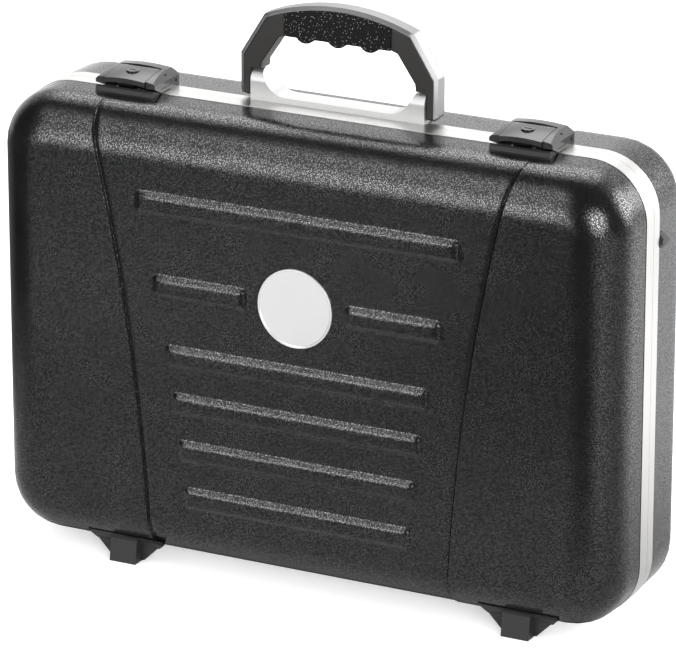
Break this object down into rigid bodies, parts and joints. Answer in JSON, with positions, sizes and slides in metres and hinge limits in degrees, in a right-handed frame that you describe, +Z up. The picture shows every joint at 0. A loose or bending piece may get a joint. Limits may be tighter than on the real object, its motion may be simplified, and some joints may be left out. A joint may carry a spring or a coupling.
{
  "type": "briefcase",
  "caption": "Hard-shell briefcase with a metal frame, ribbed front shell, key latches, a folding handle with finger bumps, a hinged lid with folding stays, and feet.",
  "frame": {"origin": "on the floor under the middle of the standing case", "axes": "+X along the width, to the right as seen from the front; +Y from the front shell to the rear shell; +Z up, towards the handle"},
  "size_m": [0.463, 0.1138, 0.3945],
  "materials": {
    "shell_plastic": "grained",
    "frame_metal": "satin anodised",
    "seal_rubber": "matt",
    "badge_metal": "satin",
    "cast_metal": "satin silver",
    "cover_metal": "satin silver",
    "fitting_plastic": "fine grained",
    "grip_rubber": "dotted",
    "latch_plastic": "satin gloss",
    "washer_plastic": "smooth",
    "fastener_steel": "bright",
    "hinge_steel": "plated",
    "lock_metal": "plated"
  },
  "bodies": {
    "base": {"rear_shell": "shell_plastic", "rear_frame": "frame_metal", "handle_bracket": "cast_metal", "bracket_screws": "fastener_steel", "handle_pins": "fastener_steel", "handle_washers": "washer_plastic", "latch_housing_left": "latch_plastic", "latch_housing_right": "latch_plastic", "lever_pins": "fastener_steel", "lever_springs": "fastener_steel", "latch_screws": "fastener_steel", "hinge_leaf_rear_left": "hinge_steel", "hinge_leaf_rear_right": "hinge_steel", "hinge_pins": "fastener_steel", "hinge_rivets_rear": "fastener_steel", "stay_mount_rear_left": "hinge_steel", "stay_mount_rear_right": "hinge_steel", "stay_screws_rear": "fastener_steel", "foot_rear_left": "fitting_plastic", "foot_rear_right": "fitting_plastic", "strap_lugs": "fitting_plastic", "lug_screws": "fastener_steel"},
    "lid": {"front_shell": "shell_plastic", "front_frame": "frame_metal", "frame_seal": "seal_rubber", "badge": "badge_metal", "catch_left": "fitting_plastic", "catch_right": "fitting_plastic", "catch_bars": "fastener_steel", "catch_rivets": "fastener_steel", "hinge_leaf_front_left": "hinge_steel", "hinge_leaf_front_right": "hinge_steel", "hinge_rivets_front": "fastener_steel", "stay_mount_front_left": "hinge_steel", "stay_mount_front_right": "hinge_steel", "stay_screws_front": "fastener_steel", "foot_front_left": "fitting_plastic", "foot_front_right": "fitting_plastic"},
    "handle": {"handle_core": "fitting_plastic", "handle_cover": "cover_metal", "handle_grip": "grip_rubber"},
    "lever_left": {"latch_lever_left": "latch_plastic", "latch_claw_left": "fastener_steel"},
    "key_left": {"key_cylinder_left": "lock_metal", "lock_cam_left": "lock_metal"},
    "rear_link_left": {"stay_link_rear_left": "hinge_steel", "stay_joint_left": "fastener_steel"},
    "front_link_left": {"stay_link_front_left": "hinge_steel"},
    "lever_right": {"latch_lever_right": "latch_plastic", "latch_claw_right": "fastener_steel"},
    "key_right": {"key_cylinder_right": "lock_metal", "lock_cam_right": "lock_metal"},
    "rear_link_right": {"stay_link_rear_right": "hinge_steel", "stay_joint_right": "fastener_steel"},
    "front_link_right": {"stay_link_front_right": "hinge_steel"}
  },
  "joints": [
    {"name": "lid_swing", "type": "hinge", "parent": "base", "child": "lid", "pos_m": [0, 0.00225, 0.0051], "axis": [1, 0, 0], "range_deg": [0, 95]},
    {"name": "handle_swing", "type": "hinge", "parent": "base", "child": "handle", "pos_m": [0, 0.01405, 0.3363], "axis": [1, 0, 0], "range_deg": [-88, 88]},
    {"name": "lever_lift_left", "type": "hinge", "parent": "base", "child": "lever_left", "pos_m": [-0.145, 0.00005, 0.33345], "axis": [-1, 0, 0], "range_deg": [0, 70]},
    {"name": "key_turn_left", "type": "hinge", "parent": "lever_left", "child": "key_left", "pos_m": [-0.145, -0.00815, 0.3254], "axis": [0, 0, 1], "range_deg": [0, 90]},
    {"name": "rear_link_swing_left", "type": "hinge", "parent": "base", "child": "rear_link_left", "pos_m": [-0.2184, 0.01825, 0.1251], "axis": [1, 0, 0], "range_deg": [0, 95]},
    {"name": "front_link_swing_left", "type": "hinge", "parent": "lid", "child": "front_link_left", "pos_m": [-0.2166, -0.01375, 0.1251], "axis": [1, 0, 0], "range_deg": [-95, 0]},
    {"name": "lever_lift_right", "type": "hinge", "parent": "base", "child": "lever_right", "pos_m": [0.145, 0.00005, 0.33345], "axis": [-1, 0, 0], "range_deg": [0, 70]},
    {"name": "key_turn_right", "type": "hinge", "parent": "lever_right", "child": "key_right", "pos_m": [0.145, -0.00815, 0.3254], "axis": [0, 0, -1], "range_deg": [0, 90]},
    {"name": "rear_link_swing_right", "type": "hinge", "parent": "base", "child": "rear_link_right", "pos_m": [0.2184, 0.01825, 0.1251], "axis": [1, 0, 0], "range_deg": [0, 95]},
    {"name": "front_link_swing_right", "type": "hinge", "parent": "lid", "child": "front_link_right", "pos_m": [0.2166, -0.01375, 0.1251], "axis": [1, 0, 0], "range_deg": [-95, 0]}
  ],
  "couplings": [
    {"joint": "rear_link_swing_left", "follows": "lid_swing", "ratio": 1},
    {"joint": "front_link_swing_left", "follows": "lid_swing", "ratio": -1},
    {"joint": "rear_link_swing_right", "follows": "lid_swing", "ratio": 1},
    {"joint": "front_link_swing_right", "follows": "lid_swing", "ratio": -1}
  ]
}
